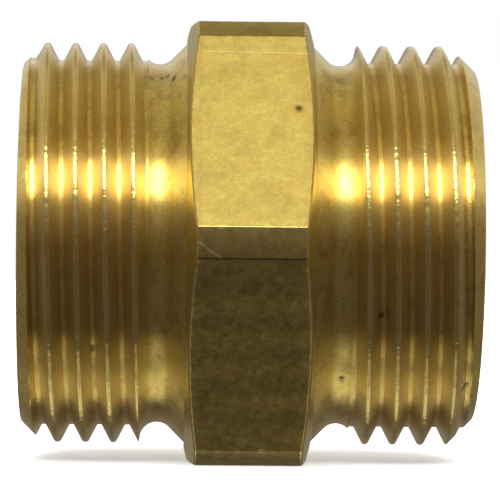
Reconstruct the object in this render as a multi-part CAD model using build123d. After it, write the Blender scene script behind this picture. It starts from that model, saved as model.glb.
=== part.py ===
from build123d import *
import math
import os

# Brass hex nipple with a male parallel pipe thread (ISO 228 G 1) at each end.
# Frame: X is the pipe axis, Z is up, and the origin is on the axis at mid hexagon.
# The nipple lies on one hexagon flat, so two opposite corners point to +Y and -Y.
# The collar and the two male ends are sections of one turned bar. They meet
# face to face on the two end planes of the hexagon.

# Overall
LENGTH = 37.4
BORE_RADIUS = 12.5
BORE_CHAMFER = 0.6

# Hexagon, 36 mm across flats, with its corners turned down
ACROSS_FLATS = 36.0
CORNER_RADIUS = 20.1
HEX_WIDTH = 10.4
HEX_LAND_RADIUS = 17.0
HEX_FACE_ANGLE = 15.0
EDGE_BREAK = 0.2

# Thread, 11 turns per inch, 55 degree flanks
THREAD_RADIUS = 33.249 / 2
PITCH = 25.4 / 11
THREAD_DEPTH = 1.479
FLANK_ANGLE = 27.5
CUTTER_OVERSIZE = 0.3
GROOVE_HALF_TURNS = 12
LEFT_CHAMFER = 1.75
RIGHT_CHAMFER = 2.1

# Round-nosed relief groove between the hexagon and each thread
RELIEF_CENTRE_X = 7.45
RELIEF_NOSE_RADIUS = 1.4
RELIEF_BOTTOM_RADIUS = 14.9

# X of one thread crest, seen along the top line of each end
LEFT_CREST_X = -9.87
RIGHT_CREST_X = 11.04

HALF_LENGTH = LENGTH / 2
HALF_HEX = HEX_WIDTH / 2
HALF_TURN = PITCH / 2
ROOT_RADIUS = THREAD_RADIUS - THREAD_DEPTH
FLANK_SLOPE = math.tan(math.radians(FLANK_ANGLE))
ROOT_FLAT = (PITCH - 2 * THREAD_DEPTH * FLANK_SLOPE) / 2


def round_about_axis(outline):
    """Solid of revolution about the pipe axis from a closed outline in (x, radius)."""
    return revolve(make_face(outline), axis=Axis.X)


def is_corner_arc(edge):
    """True for an arc on the turned corners of the hexagon."""
    return math.isclose(edge.radius, CORNER_RADIUS, abs_tol=0.001)


def hex_collar():
    """Hexagon with turned corners, 15 degree end faces and the through bore."""
    drop = (CORNER_RADIUS - HEX_LAND_RADIUS) * math.tan(math.radians(HEX_FACE_ANGLE))
    turned = round_about_axis(
        Polyline(
            (-HALF_HEX, BORE_RADIUS),
            (-HALF_HEX, HEX_LAND_RADIUS),
            (drop - HALF_HEX, CORNER_RADIUS),
            (HALF_HEX - drop, CORNER_RADIUS),
            (HALF_HEX, HEX_LAND_RADIUS),
            (HALF_HEX, BORE_RADIUS),
            close=True,
        )
    )
    across_axis = Plane(origin=(-HALF_HEX, 0, 0), x_dir=(0, 1, 0), z_dir=(1, 0, 0))
    hexagon = RegularPolygon(ACROSS_FLATS / 2, 6, major_radius=False)
    collar = turned & extrude(across_axis * hexagon, HEX_WIDTH)
    # The cones meet the flats in hyperbolas and the turned corners in arcs.
    on_flats = collar.edges().filter_by(GeomType.HYPERBOLA)
    on_corners = collar.edges().filter_by(GeomType.CIRCLE).filter_by(is_corner_arc)
    return fillet(on_flats + on_corners, EDGE_BREAK)


def end_blank(side, chamfer):
    """Plain male end: cone, relief groove, thread blank, end chamfers and bore."""
    nose_centre_r = RELIEF_BOTTOM_RADIUS + RELIEF_NOSE_RADIUS
    slant = RELIEF_NOSE_RADIUS * math.sin(math.radians(45))
    cone_end_x = RELIEF_CENTRE_X - slant
    cone_end_r = nose_centre_r - slant
    groove_end_x = RELIEF_CENTRE_X + RELIEF_NOSE_RADIUS
    cone_end = (side * cone_end_x, cone_end_r)
    groove_end = (side * groove_end_x, nose_centre_r)
    outline = Polyline(
        groove_end,
        (side * groove_end_x, THREAD_RADIUS),
        (side * (HALF_LENGTH - chamfer), THREAD_RADIUS),
        (side * HALF_LENGTH, THREAD_RADIUS - chamfer),
        (side * HALF_LENGTH, BORE_RADIUS + BORE_CHAMFER),
        (side * (HALF_LENGTH - BORE_CHAMFER), BORE_RADIUS),
        (side * HALF_HEX, BORE_RADIUS),
        (side * HALF_HEX, cone_end_r + cone_end_x - HALF_HEX),
        cone_end,
    )
    groove_bottom = (side * RELIEF_CENTRE_X, RELIEF_BOTTOM_RADIUS)
    return round_about_axis(outline + ThreePointArc(cone_end, groove_bottom, groove_end))


def half_turn_cutter():
    """Half a turn of the thread groove, rising along Z from its start at +X."""
    outer_radius = THREAD_RADIUS + CUTTER_OVERSIZE
    half_root = ROOT_FLAT / 2
    half_mouth = half_root + (outer_radius - ROOT_RADIUS) * FLANK_SLOPE
    section = Polyline(
        (ROOT_RADIUS, -half_root),
        (outer_radius, -half_mouth),
        (outer_radius, half_mouth),
        (ROOT_RADIUS, half_root),
        close=True,
    )
    helix = Helix(pitch=PITCH, height=HALF_TURN, radius=ROOT_RADIUS)
    return sweep(Plane.XZ * make_face(section), path=helix, is_frenet=True)


def thread_cutters(first_x, crest_x):
    """Half turns of a right-hand groove from first_x; its crests pass crest_x on top."""
    cutter = half_turn_cutter()
    cutters = []
    for step in range(GROOVE_HALF_TURNS):
        start_x = first_x + step * HALF_TURN
        # At crest_x the crest is on top, a quarter turn on from +Y.
        turns = (start_x - crest_x) / PITCH - 0.25
        along_axis = Plane(origin=(start_x, 0, 0), x_dir=(0, 1, 0), z_dir=(1, 0, 0))
        cutters.append(Rot(X=360 * turns) * (along_axis.location * cutter))
    return cutters


def male_end(side, crest_x, chamfer):
    """Threaded end on the +X (side = 1) or -X (side = -1) side of the hexagon."""
    groove_end_x = RELIEF_CENTRE_X + GROOVE_HALF_TURNS * HALF_TURN
    first_x = min(side * RELIEF_CENTRE_X, side * groove_end_x)
    return end_blank(side, chamfer) - thread_cutters(first_x, crest_x)


nodes = {
    "hex_collar": hex_collar(),
    "left_male_end": male_end(-1, LEFT_CREST_X, LEFT_CHAMFER),
    "right_male_end": male_end(1, RIGHT_CREST_X, RIGHT_CHAMFER),
}

os.makedirs("parts", exist_ok=True)
for name, shape in nodes.items():
    shape.label = name
    export_step(shape, f"parts/{name}.step")
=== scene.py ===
import math

import bpy
import numpy as np
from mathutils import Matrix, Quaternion, Vector


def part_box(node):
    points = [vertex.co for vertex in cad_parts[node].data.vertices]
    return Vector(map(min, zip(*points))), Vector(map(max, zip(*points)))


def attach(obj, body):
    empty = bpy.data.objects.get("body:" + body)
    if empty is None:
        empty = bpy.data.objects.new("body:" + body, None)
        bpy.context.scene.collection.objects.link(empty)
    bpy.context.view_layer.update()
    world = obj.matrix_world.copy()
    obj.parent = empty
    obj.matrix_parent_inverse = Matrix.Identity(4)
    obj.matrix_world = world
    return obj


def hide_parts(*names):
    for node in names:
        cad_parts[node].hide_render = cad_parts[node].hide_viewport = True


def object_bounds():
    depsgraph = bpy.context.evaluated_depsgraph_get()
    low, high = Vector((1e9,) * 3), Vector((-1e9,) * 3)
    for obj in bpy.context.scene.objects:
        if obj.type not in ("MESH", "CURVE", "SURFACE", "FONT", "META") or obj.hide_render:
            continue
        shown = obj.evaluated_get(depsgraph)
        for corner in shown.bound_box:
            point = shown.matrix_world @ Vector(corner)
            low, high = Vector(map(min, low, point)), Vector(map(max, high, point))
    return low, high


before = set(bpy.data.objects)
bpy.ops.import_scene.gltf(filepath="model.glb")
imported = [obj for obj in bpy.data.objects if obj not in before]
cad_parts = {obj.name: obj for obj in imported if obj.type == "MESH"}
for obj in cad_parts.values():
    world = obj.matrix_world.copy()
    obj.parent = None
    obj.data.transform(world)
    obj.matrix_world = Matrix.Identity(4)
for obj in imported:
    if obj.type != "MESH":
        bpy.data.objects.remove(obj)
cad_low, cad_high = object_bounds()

# ---------------------------------------------------------------- sizes, in millimetres
METRE = 1000                                            # millimetres in a metre
HALF_LENGTH = round(cad_high[0] * METRE, 3)
HALF_FLATS = round(cad_high[2] * METRE, 3)
HALF_HEX = round(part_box("hex_collar")[1].x * METRE, 3)  # half the width of the hexagon along the pipe

BORE = 12.5                                             # radius
BORE_CHAMFER = 0.6
BORE_MARGIN = 0.1                                       # anything up to this far outside BORE is bore wall
TIP = 0.5                                               # the last stretch of an end, made by end_profile

CORNER = 20.1                                           # radius of the turned corners of the hexagon
CORNER_ANGLE = round(math.degrees(math.acos(HALF_FLATS / CORNER)), 2)
LAND = 17.0                                             # radius where the cone of an end face starts
FACE_TILT = 15                                          # degrees
FACE_SLOPE = math.tan(math.radians(FACE_TILT))
EDGE_BREAK = 0.2                                        # radius of the edge between a flat and an end face

NECK = 16.57                                            # radius at the hexagon; it narrows at 45 degrees
RELIEF_X = 7.45                                         # the middle of the relief groove's round bottom
RELIEF_CENTRE = 16.3                                    # radius of the centre of that round
RELIEF_NOSE = 1.4                                       # the round's own radius
RELIEF_START = RELIEF_X - RELIEF_NOSE * math.sin(math.radians(45))
RELIEF_END = RELIEF_X + RELIEF_NOSE
RELIEF_WALL = 5                                         # rise per millimetre out of the groove

THREAD = 33.249 / 2                                     # crest radius
PITCH = 25.4 / 11
THREAD_DEPTH = 1.479
ROOT = THREAD - THREAD_DEPTH
FLANK_ANGLE = math.radians(27.5)
FLANK = math.tan(FLANK_ANGLE)
ROOT_FLAT = PITCH / 2 - THREAD_DEPTH * FLANK
ROUNDING = 0.137329 * PITCH                             # radius of a crest
THREAD_START = 8.6                                      # worn crests and burrs show between these two
THREAD_STOP = 17.1

ARC_POINTS = 6                                          # points in each rounded corner of an outline
SHARP = math.radians(65)                                # faces that meet at more than this have a sharp edge
FULL_TURN = 2 * math.pi


# ---------------------------------------------------------------- shape helpers
def soft_min(a, b, k):
    """The lower of a and b, with the corner between them rounded over a height of k."""
    h = np.clip(0.5 + 0.5 * (b - a) / k, 0, 1)
    return b + (a - b) * h - k * h * (1 - h)


def soft_max(a, b, k):
    """The higher of a and b, with the corner between them rounded over a height of k."""
    return -soft_min(-a, -b, k)


def fade(value, start, end):
    """0 at start and before it, 1 at end and past it, and a straight ramp between them."""
    return np.clip((value - start) / (end - start), 0, 1)


def hump(value, centre, width):
    """A bell curve of height 1 at centre."""
    return np.exp(-((value - centre) / width) ** 2)


def waves(seed, count, around, along, phi, x):
    """Smooth unevenness over a surface of revolution: seeded waves, whole numbers of them in a turn."""
    random = np.random.default_rng(seed)
    total = 0
    for _ in range(count):
        turns = random.integers(around[0], around[1] + 1)
        rate = random.uniform(-along, along) * FULL_TURN
        total = total + np.cos(turns * phi + rate * x + random.uniform(0, FULL_TURN))
    return total / math.sqrt(count / 2)


def dents(spots, x, phi, radius):
    """Depth of the small marks at each point. A spot is (x, degrees round from +Y, size, depth)."""
    depth = np.zeros(np.broadcast(x, phi).shape)
    for at_x, degrees, size, deep in spots:
        swing = (phi - math.radians(degrees) + math.pi) % FULL_TURN - math.pi
        far = ((x - at_x) ** 2 + (swing * radius) ** 2) / size ** 2
        depth = depth + deep * np.exp(-far)
    return depth


def pit_dark(spots, x, phi, radius):
    """How dark the pits are at each point: only the marks that go well down are darkened."""
    pits = [(at_x, degrees, size, 1.0) for at_x, degrees, size, deep in spots if deep > 0.03]
    return np.clip(1.6 * dents(pits, x, phi, radius), 0, 1)


def spread(lowest, highest, count, crowd):
    """count values from lowest to highest, closer together where crowd(value) is higher."""
    fine = np.linspace(lowest, highest, 6000)
    weight = np.concatenate([[0], np.cumsum(crowd(fine)[:-1])])
    return np.interp(np.linspace(0, weight[-1], count), weight, fine)


def rounded(points, radii):
    """A polyline in the (x, r) half plane with its inner corners turned into arcs of ARC_POINTS points."""
    out = [points[0]]
    for before, at, after, size in zip(points, points[1:], points[2:], radii):
        at = np.array(at)
        u = np.array(before) - at
        v = np.array(after) - at
        u = u / np.linalg.norm(u)
        v = v / np.linalg.norm(v)
        half = math.acos(float(u @ v)) / 2
        centre = at + (u + v) / np.linalg.norm(u + v) * size / math.sin(half)
        start = at + u * size / math.tan(half) - centre
        end = at + v * size / math.tan(half) - centre
        for s in np.linspace(0, 1, ARC_POINTS):
            p = start * (1 - s) + end * s
            out.append(tuple(centre + p / np.linalg.norm(p) * size))
    out.append(points[-1])
    return out


def ring(name, x, r, phi, layers):
    """A closed ring. x and r, in millimetres, have a row per point of the outline, a column per angle."""
    points = np.stack([x, r * np.cos(phi), r * np.sin(phi)], axis=-1) / METRE
    rows, columns = x.shape
    index = np.arange(rows * columns).reshape(rows, columns)
    beside = np.roll(index, -1, axis=1)
    quads = np.stack([index, beside, np.roll(beside, -1, axis=0), np.roll(index, -1, axis=0)], axis=-1)
    quads = quads.reshape(-1, 4)
    flat = points.reshape(-1, 3)
    across = np.cross(flat[quads[:, 1]], flat[quads[:, 2]])
    volume = np.einsum("ij,ij->i", flat[quads[:, 0]], across).sum()
    if volume < 0:
        quads = quads[:, ::-1]
    mesh = bpy.data.meshes.new(name)
    mesh.from_pydata(flat.tolist(), [], quads.tolist())
    mesh.polygons.foreach_set("use_smooth", np.ones(len(quads), dtype=bool))
    for label, value in layers.items():
        layer = mesh.attributes.new(label, "FLOAT", "POINT")
        layer.data.foreach_set("value", np.broadcast_to(value, x.shape).astype(np.float32).ravel())
    mesh.update()
    mesh.set_sharp_from_angle(angle=SHARP)
    made = bpy.data.objects.new(name, mesh)
    bpy.context.scene.collection.objects.link(made)
    return made


# ---------------------------------------------------------------- the two male ends
END_COLUMNS = 280
END_ROWS = 292
END_MARK_RADIUS = 16.0     # the radius that the size of a mark on an end is measured at
ROOT_SOFTNESS = 0.12       # height over which a root's corner is rounded
CREST_LEAN = 0.022         # how much higher a crest is at its inner edge than in its middle
CREST_RAGGED = 0.008
BURR_HEIGHT = 0.05
TURNING_WAVE = 0.003       # unevenness of all that is turned


def thread_height(offset):
    """Height over the root, by distance from the crest: soft-cornered root, straight flanks, round crest."""
    half = ROUNDING * math.cos(FLANK_ANGLE)
    far = np.abs(offset)
    near = PITCH / 2 - far
    flank = soft_max((near - ROOT_FLAT / 2) / FLANK, 0, ROOT_SOFTNESS)
    arc = np.sqrt(np.maximum(ROUNDING ** 2 - np.minimum(far, half) ** 2, 0))
    return np.where(far < half, THREAD_DEPTH - ROUNDING + arc, flank)


def envelope(t, chamfer):
    """Radius of the turned blank at the distance t from the middle."""
    neck = NECK - (t - HALF_HEX)
    groove = RELIEF_CENTRE - np.sqrt(np.maximum(RELIEF_NOSE ** 2 - (t - RELIEF_X) ** 2, 0))
    wall = np.minimum(RELIEF_CENTRE + (t - RELIEF_END) * RELIEF_WALL, THREAD)
    blank = np.where(t < RELIEF_START, neck, groove)
    blank = np.where(t > RELIEF_END, wall, blank)
    return soft_min(blank, THREAD - chamfer + HALF_LENGTH - t, 0.1)


def end_profile(chamfer):
    """The end face, the chamfer at its mouth and the bore: a row of (distance from the middle, radius)."""
    edge = THREAD - chamfer
    corners = [
        (HALF_LENGTH - TIP, edge + TIP),
        (HALF_LENGTH, edge),
        (HALF_LENGTH, BORE + BORE_CHAMFER),
        (HALF_LENGTH - BORE_CHAMFER, BORE),
        (HALF_HEX, BORE),
    ]
    arcs = np.array(rounded(corners, [0.3, 0.08, 0.15])[1:-1])
    outer = arcs[:ARC_POINTS]
    mouth = arcs[ARC_POINTS:]
    face = np.linspace(outer[-1], mouth[0], 5)[1:-1]
    inside = np.linspace(mouth[-1][0], HALF_HEX, 14)[1:]
    bore = np.stack([inside, np.full(inside.shape, BORE)], axis=-1)
    return np.concatenate([outer, face, mouth, bore])


def male_end(name, side, crest, chamfer, seed, spots):
    """One threaded end. side is 1 or -1, and crest is the x of a crest at the top of the pipe."""
    def crowd(v):
        return 1 + 0.5 * hump(v, RELIEF_END - 0.05, 0.15)

    phi = np.linspace(0, FULL_TURN, END_COLUMNS, endpoint=False)[None, :]
    t = spread(HALF_HEX, HALF_LENGTH - TIP, END_ROWS, crowd)[:, None]
    x = side * t
    turn = (x - crest) / PITCH - (phi / FULL_TURN - 0.25)
    offset = (turn - np.round(turn)) * PITCH
    inward = -side * offset

    # the crests lean a little, and their inner edge is ragged with burrs
    lean = CREST_LEAN * np.clip(inward / 0.19, -1.2, 1.2)
    lean = lean + CREST_RAGGED * waves(seed, 14, (9, 60), 0.3, phi, x)
    burrs = np.maximum(waves(seed + 1, 16, (14, 90), 0.5, phi, x), 0)
    lip = BURR_HEIGHT * burrs * hump(inward, 0.17, 0.06)
    on_thread = fade(t, THREAD_START, THREAD_START + 0.4) * fade(t, THREAD_STOP, THREAD_STOP - 0.5)
    blank = envelope(t, chamfer) + (lean + lip) * on_thread
    softness = 0.02 + 0.04 * fade(inward, 0.15, -0.15)
    threaded = t > RELIEF_X - 0.6
    r = np.where(threaded, soft_min(ROOT + thread_height(offset), blank, softness), blank)
    r = r + TURNING_WAVE * waves(seed + 2, 10, (2, 9), 0.5, phi, x)
    r = r - dents(spots, x, phi, END_MARK_RADIUS)
    r[0] = NECK

    slope = np.abs(np.gradient(r, t[:, 0], axis=0))
    steep = fade(slope, 0.4, 1.4) * fade(t, 8.0, 8.5)
    bevel_start = HALF_LENGTH - chamfer + 0.15
    bevel = fade(t, bevel_start, bevel_start + 0.2)
    crest_top = np.exp(-(offset / 0.2) ** 4) * fade(r, THREAD - 0.25, THREAD - 0.15)

    end = end_profile(chamfer)
    end_x = np.repeat(end[:, :1] * side, END_COLUMNS, axis=1)
    end_r = np.repeat(end[:, 1:], END_COLUMNS, axis=1)
    rows = np.concatenate([np.repeat(x, END_COLUMNS, axis=1), end_x])
    radii = np.concatenate([r, end_r])
    none = np.zeros(end_x.shape)
    layers = {
        "flank": np.concatenate([steep, none]),
        "crest": np.concatenate([crest_top, none]),
        "smooth": np.concatenate([np.maximum(crest_top, bevel), none + 1]),
        "pit_dark": np.concatenate([pit_dark(spots, x, phi, END_MARK_RADIUS), none]),
        "thread": np.concatenate([np.repeat(fade(t, 7.6, 8.4), END_COLUMNS, axis=1), none]),
        "bore": np.concatenate([np.zeros(r.shape), (end_r < BORE + BORE_CHAMFER / 2) * 1.0]),
    }
    return ring(name, rows, radii, np.broadcast_to(phi, rows.shape), layers)


# ---------------------------------------------------------------- the hexagon
HEX_COLUMNS = 640
HEX_MARK_RADIUS = 18.5     # the radius that the size of a mark on a flat is measured at
RIM_SOFTNESS = 0.02        # height over which a flat's edge with a turned corner is rounded
EDGE_RAGGED = 0.025        # how far the end edge of a flat wanders, its chips and its mean wear
CHIP_SIZE = 0.06
EDGE_WEAR = 0.03
SKIN_WAVE = 0.0035         # unevenness of the drawn skin
CORNER_WEAR = 0.005


def from_flat(phi):
    """Degrees from the middle of the nearest flat, -30 to 30. One flat faces straight up."""
    return (np.degrees(phi) - 60) % 60 - 30


def hex_edge(seed, side, phi):
    """How far the worn edge of the flats wanders along the pipe, with a few chips."""
    chips = np.maximum(waves(seed + 9 * side, 20, (20, 160), 0, phi, 0) - 1.5, 0)
    wander = waves(seed + 7 * side, 30, (12, 260), 0, phi, 0)
    return EDGE_RAGGED * wander - CHIP_SIZE * chips - EDGE_WEAR


def hex_half(rim, ragged):
    """Half of the outside, from the middle of the flats to the neck: rows of (distance, radius)."""
    end = HALF_HEX - (rim - LAND) * FACE_SLOPE
    end = end - EDGE_BREAK * math.tan(math.radians((90 - FACE_TILT) / 2))
    rows = [(s * (end + ragged), rim) for s in np.linspace(0, 1, 45)]
    for degrees in np.linspace(90, FACE_TILT, 7)[1:]:
        wear = ragged * ((degrees - FACE_TILT) / (90 - FACE_TILT)) ** 2
        out = EDGE_BREAK * math.cos(math.radians(degrees))
        up = EDGE_BREAK * math.sin(math.radians(degrees))
        rows.append((end + wear + out, rim - EDGE_BREAK + up))
    low_x, low_r = rows[-1]
    for s in np.linspace(0, 1, 17)[1:]:
        rows.append((low_x * (1 - s) + HALF_HEX * s, low_r * (1 - s) + LAND * s))
    rows.append((np.full(rim.shape, HALF_HEX), np.full(rim.shape, NECK)))
    return rows


def hex_collar(name, seed, spots):
    """The hexagon with its drawn flats, turned corners and end faces, and the middle of the bore."""
    def crowd(v):
        return 1 + 4 * hump(np.abs(from_flat(v)), CORNER_ANGLE, 0.7)

    phi = spread(0, FULL_TURN, HEX_COLUMNS + 1, crowd)[:-1]
    aside = from_flat(phi)
    rim = soft_min(HALF_FLATS / np.cos(np.radians(aside)), np.full(phi.shape, CORNER), RIM_SOFTNESS)
    right = hex_half(rim, hex_edge(seed, 1, phi))
    left = [(-x, r) for x, r in hex_half(rim, hex_edge(seed, -1, phi))]
    bore = [(np.full(phi.shape, HALF_HEX * s), np.full(phi.shape, BORE)) for s in np.linspace(1, -1, 10)]
    loop = left[:0:-1] + right + bore
    x = np.array([row[0] for row in loop])
    r = np.array([row[1] for row in loop])
    phi = np.broadcast_to(phi, x.shape)

    outside = (r > LAND + 0.05) * 1.0
    skin = (1 - fade(rim - r, 0, 0.05)) * outside
    r = r + SKIN_WAVE * waves(seed, 14, (6, 40), 0.05, phi, x) * skin
    r = r - dents(spots, x, phi, HEX_MARK_RADIUS) * outside
    wear = np.maximum(waves(seed + 3, 24, (0, 8), 1.2, phi, x), 0)
    r = r - CORNER_WEAR * wear * hump(np.abs(aside), CORNER_ANGLE, 0.35) * skin
    below = (rim - r) * outside
    in_bore = (r < BORE + BORE_MARGIN) * 1.0
    layers = {
        "edge": hump(below, 0.06, 0.05) * outside * (np.abs(x) > 4),
        # corner masks the edge between a flat and a turned corner, where a dark line of painted shade goes
        "corner": hump(np.abs(aside), CORNER_ANGLE, 0.22) * skin,
        "turned": 1 - skin,
        "pit_dark": pit_dark(spots, x, phi, HEX_MARK_RADIUS) * outside,
        "bore": in_bore,
        "smooth": in_bore,
    }
    return ring(name, x, r, phi, layers)


def paint_bore(piece, slot_number):
    """Give the bore of a piece its own material slot."""
    for face in piece.data.polygons:
        if math.hypot(face.center.y, face.center.z) < (BORE + BORE_MARGIN) / METRE:
            face.material_index = slot_number


# ---------------------------------------------------------------- node helpers
def node(tree, kind, inputs=None, **settings):
    """Add a node. An input is a socket to link from or a value to set."""
    made = tree.nodes.new(kind)
    for key, value in settings.items():
        setattr(made, key, value)
    for key, value in (inputs or {}).items():
        if isinstance(value, bpy.types.NodeSocket):
            tree.links.new(value, made.inputs[key])
        else:
            made.inputs[key].default_value = value
    return made


def maths(tree, operation, *values):
    return node(tree, "ShaderNodeMath", dict(enumerate(values)), operation=operation).outputs[0]


def plus(tree, a, b):
    return maths(tree, "ADD", a, b)


def times(tree, a, b):
    return maths(tree, "MULTIPLY", a, b)


def remap(tree, value, low, high, to_low=0.0, to_high=1.0):
    """A smooth step from to_low, where value is low, to to_high, where it is high."""
    inputs = {0: value, 1: low, 2: high, 3: to_low, 4: to_high}
    return node(tree, "ShaderNodeMapRange", inputs, interpolation_type="SMOOTHSTEP").outputs[0]


def noise(tree, position, scale, detail=3.0, rough=0.55):
    """Noise in millimetres: scale is the number of cells per millimetre along x, y and z."""
    stretched = node(tree, "ShaderNodeVectorMath", {0: position, 1: scale}, operation="MULTIPLY").outputs[0]
    inputs = {"Scale": 1.0, "Detail": detail, "Roughness": rough, "Vector": stretched}
    return node(tree, "ShaderNodeTexNoise", inputs).outputs["Fac"]


def mixed(tree, factor, a, b):
    return node(tree, "ShaderNodeMix", {0: factor, 6: a, 7: b}, data_type="RGBA").outputs[2]


def attribute(tree, label):
    return node(tree, "ShaderNodeAttribute", attribute_name=label).outputs["Fac"]


def start_material(name):
    """A new material, its node tree, and the place on the object in millimetres."""
    material = bpy.data.materials.new(name)
    material.use_nodes = True
    tree = material.node_tree
    tree.nodes.clear()
    place = node(tree, "ShaderNodeTexCoord").outputs["Object"]
    inputs = {0: place, 1: (METRE, METRE, METRE)}
    place = node(tree, "ShaderNodeVectorMath", inputs, operation="MULTIPLY").outputs[0]
    return material, tree, place


def finish_material(tree, colour, rough, height, distance, grain):
    """Metal with that colour, roughness and bump. grain is how much its gloss is drawn out round the axis."""
    bump = node(tree, "ShaderNodeBump", {"Strength": 1.0, "Distance": distance, "Height": height})
    round_axis = node(tree, "ShaderNodeTangent", direction_type="RADIAL", axis="X")
    surface = node(tree, "ShaderNodeBsdfPrincipled", {
        "Base Color": colour, "Metallic": 1.0, "Roughness": rough, "Normal": bump.outputs[0],
        "Anisotropic": grain, "Anisotropic Rotation": 0.25, "Tangent": round_axis.outputs[0],
    })
    node(tree, "ShaderNodeOutputMaterial", {0: surface.outputs[0]})


# ---------------------------------------------------------------- the two finishes
SKIN_BUMP = 0.000004       # height of the bump in the drawn skin, in metres
TOOL_BUMP = 0.000014       # height of the bump in what is turned, in metres
GOLD = (0.79, 0.62, 0.148, 1)
RED_GOLD = (0.79, 0.59, 0.142, 1)
PALE_GOLD = (0.83, 0.69, 0.20, 1)
DARK_GOLD = (0.45, 0.33, 0.09, 1)
CONE_GOLD = (0.66, 0.57, 0.25, 1)
TURNED_GOLD = (0.80, 0.59, 0.145, 1)
TURNED_PALE = (0.79, 0.62, 0.165, 1)
THREAD_GOLD = (0.79, 0.58, 0.15, 1)
CREST_GOLD = (0.70, 0.53, 0.16, 1)
FLANK_GOLD = (0.73, 0.545, 0.18, 1)
SCRATCH_GOLD = (0.9, 0.78, 0.45, 1)
LINE_GOLD = (0.95, 0.84, 0.40, 1)
BROWN = (0.36, 0.22, 0.07, 1)
RED_BROWN = (0.42, 0.23, 0.07, 1)
PAINTED_EDGE_SHADE = (0.27, 0.19, 0.06, 1)
HEX_PIT_DARK = (0.16, 0.11, 0.04, 1)
TURNED_PIT_DARK = (0.09, 0.065, 0.025, 1)


def scratch(tree, axes, start, end, width):
    """A mask along one straight scratch on the front, from (x, z) start to end."""
    length = math.dist(start, end)
    along = ((end[0] - start[0]) / length, (end[1] - start[1]) / length)
    x = maths(tree, "SUBTRACT", axes.outputs[0], start[0])
    z = maths(tree, "SUBTRACT", axes.outputs[2], start[1])
    far = plus(tree, times(tree, x, along[0]), times(tree, z, along[1]))
    aside = maths(tree, "SUBTRACT", times(tree, x, along[1]), times(tree, z, along[0]))
    line = remap(tree, maths(tree, "ABSOLUTE", aside), width * 0.3, width, 1.0, 0.0)
    ends = times(tree, remap(tree, far, 0, 0.3), remap(tree, far, length, length - 0.2))
    front = remap(tree, axes.outputs[1], -1, 0, 1.0, 0.0)
    return times(tree, times(tree, line, ends), front)


def turning_rings(tree, axes):
    """Fine rings round the pipe axis, as a lathe leaves them on an end face."""
    across = node(tree, "ShaderNodeCombineXYZ", {0: 0.0, 1: axes.outputs[1], 2: axes.outputs[2]})
    radius = node(tree, "ShaderNodeVectorMath", {0: across.outputs[0]}, operation="LENGTH").outputs["Value"]
    stations = node(tree, "ShaderNodeCombineXYZ", {0: times(tree, radius, 9.0), 1: 0.0, 2: 0.0})
    return noise(tree, stations.outputs[0], (1, 1, 1), detail=3)


def drawn_brass():
    """The hexagon: drawn bar skin on the flats, turned corners and cone faces."""
    material, tree, place = start_material("drawn_brass_skin")
    axes = node(tree, "ShaderNodeSeparateXYZ", {0: place})
    turned = attribute(tree, "turned")
    edge = attribute(tree, "edge")
    corner = attribute(tree, "corner")
    mottle = noise(tree, place, (0.25, 0.6, 0.6), detail=3)
    patch = noise(tree, place, (0.45, 0.5, 0.5), detail=5, rough=0.7)
    streak = noise(tree, place, (0.1, 3.5, 3.5), detail=4, rough=0.65)
    grain = noise(tree, place, (6, 6, 6), detail=3, rough=0.7)
    cloud = noise(tree, place, (1.4, 1.6, 1.6), detail=4, rough=0.7)
    speck = noise(tree, place, (2.6, 2.6, 2.6), detail=1)
    mark = scratch(tree, axes, (-4.48, 0.18), (-2.37, -1.28), 0.12)
    line = scratch(tree, axes, (-4.2, 15.38), (4.9, 15.3), 0.06)

    colour = mixed(tree, remap(tree, mottle, 0.42, 0.62), RED_GOLD, GOLD)
    colour = mixed(tree, remap(tree, cloud, 0.42, 0.66, 0.0, 0.6), colour, PALE_GOLD)
    colour = mixed(tree, remap(tree, patch, 0.44, 0.66, 0.0, 0.35), colour, DARK_GOLD)
    colour = mixed(tree, remap(tree, grain, 0.42, 0.7, 0.0, 0.3), colour, DARK_GOLD)
    colour = mixed(tree, remap(tree, streak, 0.55, 0.8, 0.0, 0.12), colour, BROWN)
    colour = mixed(tree, remap(tree, speck, 0.76, 0.8, 0.0, 0.5), colour, BROWN)
    colour = mixed(tree, remap(tree, turned, 0.2, 0.8, 0.0, 0.8), colour, CONE_GOLD)
    colour = mixed(tree, times(tree, edge, 0.7), colour, BROWN)
    # painted shade: a dark line along each edge between a flat and a turned corner, to hold down its
    # highlight
    colour = mixed(tree, times(tree, corner, 0.95), colour, PAINTED_EDGE_SHADE)
    # the deep pits are darker
    colour = mixed(tree, attribute(tree, "pit_dark"), colour, HEX_PIT_DARK)
    colour = mixed(tree, times(tree, mark, 0.3), colour, SCRATCH_GOLD)
    colour = mixed(tree, times(tree, line, 0.55), colour, LINE_GOLD)

    rough = remap(tree, cloud, 0.3, 0.7, 0.13, 0.19)
    rough = plus(tree, rough, times(tree, mark, 0.1))
    rough = plus(tree, rough, remap(tree, turned, 0.2, 0.8, 0.0, 0.16))
    rough = plus(tree, rough, times(tree, plus(tree, attribute(tree, "bore"), edge), 0.12))

    lines = mixed(tree, remap(tree, turned, 0.2, 0.8), streak, turning_rings(tree, axes))
    lines = node(tree, "ShaderNodeSeparateColor", {0: lines}).outputs[0]
    height = plus(tree, times(tree, lines, 0.4), times(tree, grain, 0.4))
    height = maths(tree, "MULTIPLY_ADD", cloud, 0.6, height)
    finish_material(tree, colour, rough, height, distance=SKIN_BUMP, grain=0.0)
    return material


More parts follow.
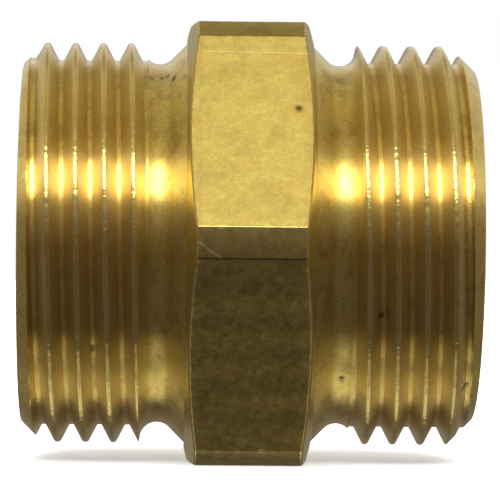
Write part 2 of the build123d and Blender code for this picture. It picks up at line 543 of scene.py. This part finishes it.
def turned_brass():
    """The ends and the bore: tool lines round the axis, stains, and smoother crests."""
    material, tree, place = start_material("turned_brass_skin")
    flank = attribute(tree, "flank")
    crest = attribute(tree, "crest")
    mottle = noise(tree, place, (0.5, 0.35, 0.35), detail=3)
    lines = noise(tree, place, (14, 0.25, 0.25), detail=3, rough=0.7)
    grain = noise(tree, place, (6, 6, 6), detail=3, rough=0.7)
    stain = noise(tree, place, (0.7, 0.5, 0.5), detail=5, rough=0.7)
    beads = times(tree, noise(tree, place, (0.6, 1.6, 1.6), detail=2), crest)
    cloud = noise(tree, place, (1.6, 1.2, 1.2), detail=4, rough=0.7)
    speck = noise(tree, place, (2.2, 2.2, 2.2), detail=1)

    colour = mixed(tree, remap(tree, mottle, 0.4, 0.65), TURNED_PALE, TURNED_GOLD)
    colour = mixed(tree, times(tree, attribute(tree, "thread"), 0.75), colour, THREAD_GOLD)
    colour = mixed(tree, remap(tree, cloud, 0.5, 0.78, 0.0, 0.25), colour, DARK_GOLD)
    colour = mixed(tree, remap(tree, stain, 0.48, 0.64, 0.0, 0.5), colour, RED_BROWN)
    colour = mixed(tree, remap(tree, grain, 0.42, 0.68, 0.0, 0.5), colour, DARK_GOLD)
    colour = mixed(tree, remap(tree, speck, 0.74, 0.8, 0.0, 0.6), colour, BROWN)
    colour = mixed(tree, times(tree, crest, 0.6), colour, CREST_GOLD)
    colour = mixed(tree, times(tree, flank, 0.8), colour, FLANK_GOLD)
    # the deep pits are darker
    colour = mixed(tree, attribute(tree, "pit_dark"), colour, TURNED_PIT_DARK)

    rough = remap(tree, cloud, 0.3, 0.7, 0.29, 0.36)
    rough = plus(tree, rough, times(tree, flank, 0.03))
    rough = maths(tree, "SUBTRACT", rough, times(tree, attribute(tree, "smooth"), 0.08))
    rough = plus(tree, rough, times(tree, attribute(tree, "bore"), 0.23))

    height = plus(tree, times(tree, lines, 0.6), times(tree, grain, 0.35))
    height = maths(tree, "MULTIPLY_ADD", beads, 3.0, height)
    finish_material(tree, colour, rough, height, distance=TOOL_BUMP, grain=1.0)
    return material


# ---------------------------------------------------------------- the object
# Marks, as dents() takes them: a pit has a depth over 0 and a raised speck one under 0.
HEX_SPOTS = [
    (3.68, 143.3, 0.27, 0.04),
    (1.98, 134.0, 0.18, -0.014),
    (0.87, 141.2, 0.2, -0.012),
    (-4.73, 134.8, 0.16, 0.02),
    (-4.45, 140.9, 0.18, -0.016),
    (-2.8, 124.3, 0.16, -0.014),
    (-2.2, 124.3, 0.12, -0.014),
]
LEFT_SPOTS = [
    (-17.9, 91.5, 0.45, -0.2),
    (-12.6, 214.0, 0.2, 0.08),
    (-6.26, 119.2, 0.17, 0.05),
    (-6.3, 121.2, 0.17, 0.05),
    (-5.4, 125.2, 0.15, 0.05),
    (-6.8, 115.8, 0.13, 0.032),
    (-7.25, 115.9, 0.13, 0.032),
    (-8.1, 117.4, 0.16, 0.04),
]
RIGHT_SPOTS = [
    (7.47, 226.5, 0.2, 0.09),
    (10.39, 202.0, 0.2, 0.1),
    (17.44, 227.7, 0.25, 0.09),
]

collar = hex_collar("hex_collar_metal", seed=11, spots=HEX_SPOTS)
left = male_end("left_end_metal", side=-1, crest=-9.87, chamfer=1.75, seed=21, spots=LEFT_SPOTS)
right = male_end("right_end_metal", side=1, crest=11.04, chamfer=2.1, seed=31, spots=RIGHT_SPOTS)
drawn = drawn_brass()
turned = turned_brass()
for piece, skins, node_name, slot in (
    (collar, (drawn, turned), "hex_collar", "drawn_brass"),
    (left, (turned,), "left_male_end", "turned_brass"),
    (right, (turned,), "right_male_end", "turned_brass"),
):
    for skin in skins:
        piece.data.materials.append(skin)
    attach(piece, "root")
    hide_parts(node_name)
paint_bore(collar, 1)

# ---------------------------------------------------------------- floor
bpy.ops.mesh.primitive_plane_add(size=6, location=(0, 0, -HALF_FLATS / METRE))
floor = bpy.context.object
floor.name = "floor"
paper = bpy.data.materials.new("white_paper")
paper.use_nodes = True
sheet = paper.node_tree.nodes["Principled BSDF"]
sheet.inputs["Base Color"].default_value = (0.92, 0.92, 0.92, 1)
sheet.inputs["Roughness"].default_value = 0.9
sheet.inputs["Emission Color"].default_value = (1, 1, 1, 1)
sheet.inputs["Emission Strength"].default_value = 0.45
floor.data.materials.append(paper)
floor.visible_glossy = False

# ---------------------------------------------------------------- light
# The room is a world whose light depends on direction alone: its height above the horizon in
# degrees, and its bearing in degrees from the front, -Y.
SKY_TOP = 10.0             # the brightest level that a stop may have
PLAIN = (1, 1, 1)
WARM = (1, 0.9, 0.75)
COOL = (0.98, 1.0, 1.1)
DIM = (1.0, 0.94, 1.2)
RUDDY = (1.0, 0.82, 1.05)
BLUISH = (0.95, 0.97, 1.3)

world = bpy.data.worlds.new("studio")
bpy.context.scene.world = world
world.use_nodes = True
sky = world.node_tree
sky.nodes.clear()


def ramp(value, stops):
    """Light by height. A stop is (degrees above the horizon, level, tint)."""
    made = node(sky, "ShaderNodeValToRGB", {0: value})
    steps = made.color_ramp.elements
    places = [(stop[0] + 90) / 180 for stop in stops]
    for place in places[1:-1]:
        steps.new(place)
    steps[0].position = places[0]
    steps[len(steps) - 1].position = places[-1]
    for step, (_, level, tint) in zip(steps, stops):
        step.color = [level / SKY_TOP * part for part in tint] + [1]
    return made.outputs[0]


def within(angle, full, none):
    """1 at full degrees and on the far side of it from none, 0 at none and beyond, a smooth step between."""
    return remap(sky, angle, math.radians(full), math.radians(none), 1.0, 0.0)


ray = node(sky, "ShaderNodeTexCoord").outputs["Generated"]
parts = node(sky, "ShaderNodeSeparateXYZ", {0: ray})
lift = maths(sky, "ARCSINE", parts.outputs[2])
lift = maths(sky, "MULTIPLY_ADD", lift, 1 / math.pi, 0.5)
front = ramp(lift, [
    (-90, 0.38, COOL), (-78, 0.42, COOL), (-71, 0.5, COOL), (-68, 0.1, DIM), (-60, 0.055, RUDDY),
    (-33, 0.073, DIM), (-16, 0.085, DIM), (-8, 0.09, RUDDY), (0, 0.12, RUDDY), (7, 0.18, DIM),
    (15, 0.32, DIM), (24, 0.48, PLAIN), (34, 0.38, WARM), (55, 0.48, WARM), (67, 0.53, WARM),
    (77, 0.53, WARM), (90, 0.51, WARM),
])
behind = ramp(lift, [
    (-90, 0.38, COOL), (-75, 0.38, COOL), (-68, 0.25, DIM), (-60, 0.09, DIM), (-50, 0.12, DIM),
    (-20, 0.22, WARM), (-4, 0.32, WARM), (7, 0.35, WARM), (16, 0.9, PLAIN), (27, 0.75, PLAIN),
    (45, 0.42, WARM), (56, 0.28, WARM), (66, 0.3, WARM), (76, 0.5, WARM), (90, 0.56, WARM),
])
# a window with two crossbars
window = ramp(lift, [
    (29, 0, PLAIN), (31, 10, PLAIN), (35, 10, PLAIN), (35.8, 2, PLAIN), (37.4, 2, PLAIN), (38.2, 10, PLAIN),
    (42.6, 10, PLAIN), (43.4, 2, PLAIN), (45, 2, PLAIN), (45.8, 9, PLAIN), (48.5, 9, PLAIN), (50.5, 0, PLAIN),
])
lamp_band = ramp(lift, [
    (54, 0, PLAIN), (57, 0.47, PLAIN), (60.5, 0.43, PLAIN), (63.5, 0.32, PLAIN), (71, 0, PLAIN),
])
low_band = ramp(lift, [
    (-74, 0, PLAIN), (-68, 0.55, PLAIN), (-61, 0.5, PLAIN), (-57, 0.08, PLAIN), (-50, 0.065, BLUISH),
    (-10, 0.06, BLUISH), (10, 0.02, BLUISH), (25, 0, PLAIN),
])
back_band = ramp(lift, [
    (-90, 0, PLAIN), (-80, 0.1, PLAIN), (-72, 0.6, PLAIN), (-66, 1.4, PLAIN), (-60, 1.6, PLAIN),
    (-54, 0.3, PLAIN), (-46, 0, PLAIN), (42, 0, PLAIN), (50, 0.5, PLAIN), (62, 0.42, PLAIN),
    (70, 0.2, PLAIN), (80, 0, PLAIN),
])
bearing = maths(sky, "ARCTAN2", parts.outputs[0], times(sky, parts.outputs[1], -1.0))
bearing = maths(sky, "ABSOLUTE", bearing)
ahead = within(bearing, 28, 42)
close = within(bearing, 20, 45)
wings = times(sky, within(bearing, 24, 9), within(bearing, 75, 95))
flanking = times(sky, within(bearing, 105, 85), within(bearing, 156, 171))
light = mixed(sky, remap(sky, parts.outputs[1], -0.15, 0.15), front, behind)
for share, band in ((ahead, window), (close, lamp_band), (wings, low_band), (flanking, back_band)):
    inputs = {0: share, 6: light, 7: band}
    light = node(sky, "ShaderNodeMix", inputs, data_type="RGBA", blend_type="ADD").outputs[2]

# the camera sees plain white where it sees past the floor
room = node(sky, "ShaderNodeBackground", {0: light, 1: SKY_TOP})
white = node(sky, "ShaderNodeBackground", {0: (1, 1, 1, 1), 1: 1.0})
seen = node(sky, "ShaderNodeLightPath").outputs["Is Camera Ray"]
both = node(sky, "ShaderNodeMixShader", {0: seen, 1: room.outputs[0], 2: white.outputs[0]})
node(sky, "ShaderNodeOutputWorld", {0: both.outputs[0]})

lamp = bpy.data.lights.new("soft_top", "AREA")
lamp.shape = "RECTANGLE"
lamp.size = 1.6
lamp.size_y = 0.9
lamp.energy = 20
soft = bpy.data.objects.new("soft_top", lamp)
soft.location = (0, -0.25, 1.3)
soft.rotation_euler = (math.radians(11), 0, 0)
soft.visible_glossy = False
bpy.context.scene.collection.objects.link(soft)

# ---------------------------------------------------------------- camera
DISTANCE = 0.309
AIM = Vector((0.0002, 0, -0.00049))
AZIMUTH = math.radians(-1.2)
ELEVATION = math.radians(-0.2)
ROLL = math.radians(0.55)

away = Vector((
    math.sin(AZIMUTH) * math.cos(ELEVATION),
    -math.cos(AZIMUTH) * math.cos(ELEVATION),
    math.sin(ELEVATION),
))
view = bpy.data.cameras.new("camera")
view.sensor_width = 36
view.lens = 266.6
view.clip_start = 0.01
view.clip_end = 20
camera = bpy.data.objects.new("camera", view)
camera.location = AIM + away * DISTANCE
camera.rotation_mode = "QUATERNION"
camera.rotation_quaternion = (-away).to_track_quat("-Z", "Y") @ Quaternion((0, 0, 1), ROLL)
bpy.context.scene.collection.objects.link(camera)
bpy.context.scene.camera = camera
bpy.context.scene.view_settings.view_transform = "Standard"
